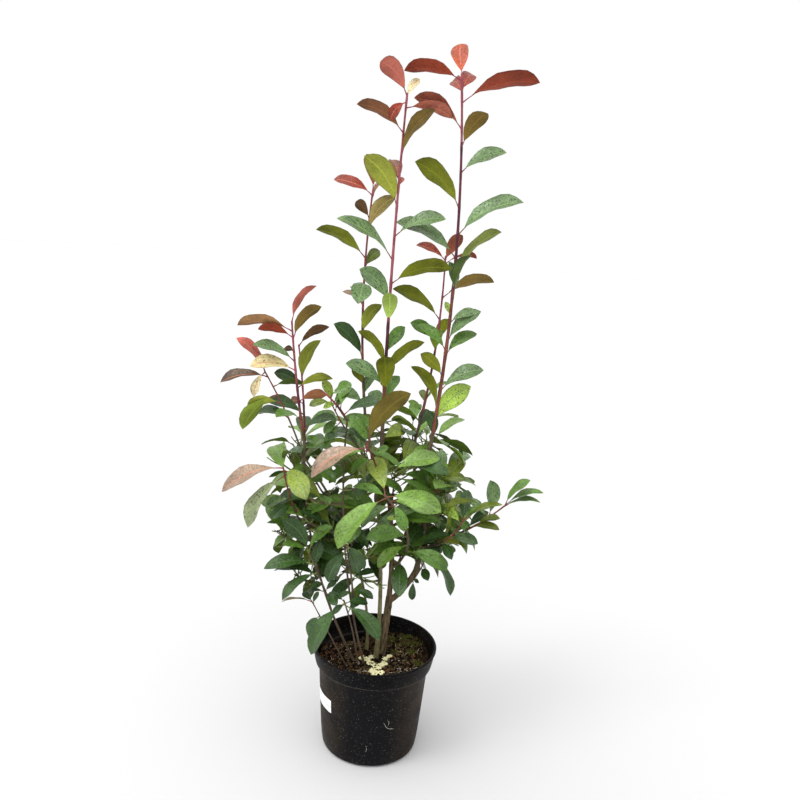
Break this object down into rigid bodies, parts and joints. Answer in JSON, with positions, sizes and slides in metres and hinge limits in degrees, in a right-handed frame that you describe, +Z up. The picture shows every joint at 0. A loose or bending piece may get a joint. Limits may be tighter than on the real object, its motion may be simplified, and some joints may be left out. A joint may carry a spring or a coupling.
{
  "type": "potted photinia shrub",
  "caption": "Young evergreen shrub with upright leafy leaders, coppery red at their tips, over a bushy green base, growing in a round black nursery pot filled with compost.",
  "frame": {"origin": "centre of the pot's flat underside", "axes": "+Z up along the pot's axis, -Y towards the viewer of the picture, +X to the viewer's right"},
  "size_m": [0.4818, 0.2863, 1.0958],
  "materials": {
    "pot": "matte black, moulded, dusty",
    "compost": "rough, moist and fibrous",
    "bark": "thin young bark, crimson above, grey-brown at the foot",
    "young_red_foliage": "leathery leaves, red and bronze at the tips, olive below",
    "green_foliage": "leathery dark green leaves with a pale sheen"
  },
  "bodies": {
    "root": {"back_bough": "bark", "back_leader": "young_red_foliage", "back_left_spray": "green_foliage", "back_right_spray": "green_foliage", "back_spray": "green_foliage", "bronze_shoot": "green_foliage", "centre_stem": "bark", "front_leader": "green_foliage", "front_left_spray": "green_foliage", "front_shoot": "green_foliage", "front_spray": "green_foliage", "front_stem": "bark", "high_back_left_spray": "green_foliage", "high_back_spray": "green_foliage", "high_front_left_spray": "green_foliage", "high_front_spray": "green_foliage", "high_left_spray": "green_foliage", "high_middle_spray": "green_foliage", "high_right_front_spray": "green_foliage", "high_right_spray": "green_foliage", "left_back_leader": "green_foliage", "left_leader": "young_red_foliage", "left_low_shoot": "green_foliage", "left_middle_leader": "young_red_foliage", "left_outer_shoot": "young_red_foliage", "left_side_shoot": "green_foliage", "left_spray": "green_foliage", "left_stem": "bark", "low_back_left_spray": "green_foliage", "low_back_right_spray": "green_foliage", "low_back_spray": "green_foliage", "low_front_spray": "green_foliage", "low_hanging_shoot": "green_foliage", "low_left_shoot": "green_foliage", "low_left_spray": "green_foliage", "low_right_front_spray": "green_foliage", "low_right_shoot": "green_foliage", "low_right_spray": "green_foliage", "middle_bough": "bark", "middle_front_spray": "green_foliage", "middle_low_shoot": "green_foliage", "pot": "pot", "potting_soil": "compost", "right_bough": "bark", "right_front_shoot": "green_foliage", "right_front_spray": "green_foliage", "right_side_shoot": "green_foliage", "right_spray": "green_foliage", "right_upper_shoot": "green_foliage", "tall_middle_leader": "young_red_foliage", "tall_right_leader": "young_red_foliage", "thin_back_stem": "bark", "trunk": "bark", "upper_front_shoot": "green_foliage"}
  },
  "joints": []
}
